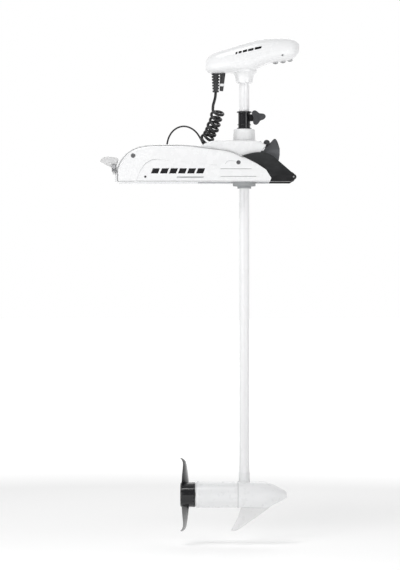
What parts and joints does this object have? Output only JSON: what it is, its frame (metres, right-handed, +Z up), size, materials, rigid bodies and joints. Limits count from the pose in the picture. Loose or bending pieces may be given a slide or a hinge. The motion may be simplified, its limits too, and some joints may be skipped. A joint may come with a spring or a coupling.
{
  "type": "trolling motor",
  "caption": "Electric bow-mount trolling motor: steerable control head and shaft on a folding deck mount, with a finned lower unit and two-blade weedless propeller.",
  "frame": {"origin": "centre of the deck bolt pattern on the mount's underside", "axes": "+Z up, +X towards the bow, +Y to port"},
  "size_m": [0.687, 0.191, 1.7103],
  "materials": {
    "white_cover": "gloss white moulding",
    "white_head": "gloss white moulding",
    "white_shaft": "satin white composite tube",
    "white_paint": "gloss white paint",
    "light_grey_plastic": "satin light grey",
    "mid_grey_plastic": "satin mid grey",
    "dark_grey_plastic": "textured charcoal",
    "black_gloss": "gloss black",
    "black_rubber": "soft black",
    "cord_jacket": "black cord jacket",
    "button_grey": "grey keypad rubber",
    "rail_metal": "extruded, anodised",
    "cast_metal": "cast",
    "steel": "stainless",
    "brass_gear": "machined",
    "bronze_bush": "sintered",
    "magnet": "ferrite",
    "board": "circuit board",
    "copper": "copper windings",
    "lens": "clear"
  },
  "bodies": {
    "mount": {"deck_plate": "rail_metal", "rails": "rail_metal", "starboard_side_cover": "white_cover", "port_side_cover": "white_cover", "starboard_shoulder_fairing": "white_cover", "port_shoulder_fairing": "white_cover", "starboard_bow_ramp": "dark_grey_plastic", "port_bow_ramp": "dark_grey_plastic", "ramp_horns": "dark_grey_plastic", "mount_pins": "steel", "shoulder_bumpers": "black_rubber", "cover_screws": "steel", "rear_end_cap": "dark_grey_plastic", "latch_return_spring": "steel", "loop_grommet": "black_rubber", "loop_cable": "cord_jacket"},
    "pedal": {"release_pedal": "white_cover"},
    "latch": {"latch_rod": "steel"},
    "starboard_roller": {"starboard_roller": "black_rubber"},
    "port_roller": {"port_roller": "black_rubber"},
    "carriage": {"carriage": "cast_metal"},
    "steering_housing": {"steering_housing": "dark_grey_plastic", "housing_cover": "white_cover", "tilt_trunnions": "steel", "lower_bearing": "mid_grey_plastic", "upper_bushing": "bronze_bush", "steering_motor": "steel", "cord_gland": "black_rubber"},
    "steer_pinion": {"steering_pinion": "brass_gear"},
    "steer_drive": {"output_gear": "brass_gear", "drive_sleeve": "mid_grey_plastic"},
    "motor_shaft": {"shaft_tube": "white_shaft", "shaft_wiring": "cord_jacket", "shaft_socket": "light_grey_plastic", "head_lower_shell": "white_head", "head_upper_shell": "white_head", "head_boss": "white_head", "control_board": "board", "status_lens": "lens", "strain_relief": "black_rubber", "accessory_connector": "black_rubber", "nose_housing": "white_paint", "centre_housing": "white_paint", "rear_end_bell": "white_paint", "field_magnets": "magnet", "brush_plate": "board", "through_bolts": "steel", "motor_bearings": "steel", "shaft_seal": "black_rubber", "coil_cord_lead": "cord_jacket", "coil_cord_coil": "cord_jacket", "coil_cord_tail": "cord_jacket"},
    "depth_collar": {"depth_collar": "black_gloss"},
    "collar_knob": {"collar_knob": "dark_grey_plastic"},
    "propeller": {"propeller": "black_gloss", "armature": "copper", "prop_hardware": "steel"},
    "rear_button": {"rear_button": "button_grey"},
    "middle_button": {"middle_button": "button_grey"},
    "front_button": {"front_button": "button_grey"}
  },
  "joints": [
    {"name": "carriage_slide", "type": "slide", "parent": "mount", "child": "carriage", "axis": [1, 0, 0], "range_m": [-0.25, 0]},
    {"name": "stow_tilt", "type": "hinge", "parent": "carriage", "child": "steering_housing", "pos_m": [0.2885, 0, 0.066], "axis": [0, -1, 0], "range_deg": [0, 90], "deforming": ["loop_cable"]},
    {"name": "steer", "type": "hinge", "parent": "steering_housing", "child": "steer_drive", "pos_m": [0.31, 0, 0], "axis": [0, 0, 1], "range_deg": [-180, 180]},
    {"name": "pinion_spin", "type": "hinge", "parent": "steering_housing", "child": "steer_pinion", "pos_m": [0.3475, 0, 0], "axis": [0, 0, 1], "range_deg": [-720, 720]},
    {"name": "shaft_raise", "type": "slide", "parent": "steer_drive", "child": "motor_shaft", "axis": [0, 0, -1], "range_m": [-0.92, 0], "deforming": ["coil_cord_lead", "coil_cord_coil", "coil_cord_tail"]},
    {"name": "collar_slide", "type": "slide", "parent": "motor_shaft", "child": "depth_collar", "axis": [0, 0, 1], "range_m": [0, 0.09]},
    {"name": "knob_turn", "type": "hinge", "parent": "depth_collar", "child": "collar_knob", "pos_m": [0.356, 0, 0.225], "axis": [0, 1, 0], "range_deg": [0, 540]},
    {"name": "prop_spin", "type": "hinge", "parent": "motor_shaft", "child": "propeller", "pos_m": [0.12, 0, -1.0816], "axis": [1, 0, 0], "continuous": true},
    {"name": "pedal_press", "type": "hinge", "parent": "mount", "child": "pedal", "pos_m": [-0.139, -0.059, 0.051], "axis": [0, -1, 0], "range_deg": [0, 18], "stiffness_Nm_per_rad": 3, "springref_deg": -5.73},
    {"name": "latch_slide", "type": "slide", "parent": "mount", "child": "latch", "axis": [1, 0, 0], "range_m": [0, 0.008], "deforming": ["latch_return_spring"]},
    {"name": "starboard_roller_spin", "type": "hinge", "parent": "mount", "child": "starboard_roller", "pos_m": [0.478, -0.075, 0.017], "axis": [0, 1, 0], "continuous": true},
    {"name": "port_roller_spin", "type": "hinge", "parent": "mount", "child": "port_roller", "pos_m": [0.478, 0.075, 0.017], "axis": [0, 1, 0], "continuous": true},
    {"name": "rear_button_press", "type": "slide", "parent": "motor_shaft", "child": "rear_button", "axis": [0, 0, 1], "range_m": [0, 0.0015], "stiffness_N_per_m": 400, "springref_m": -0.001},
    {"name": "middle_button_press", "type": "slide", "parent": "motor_shaft", "child": "middle_button", "axis": [0, 0, 1], "range_m": [0, 0.0015], "stiffness_N_per_m": 400, "springref_m": -0.001},
    {"name": "front_button_press", "type": "slide", "parent": "motor_shaft", "child": "front_button", "axis": [0, 0, 1], "range_m": [0, 0.0015], "stiffness_N_per_m": 400, "springref_m": -0.001}
  ],
  "couplings": [
    {"joint": "carriage_slide", "follows": "stow_tilt", "m_per_rad": -0.15914},
    {"joint": "pinion_spin", "follows": "steer", "ratio": -4},
    {"joint": "latch_slide", "follows": "pedal_press", "m_per_rad": 0.025}
  ]
}
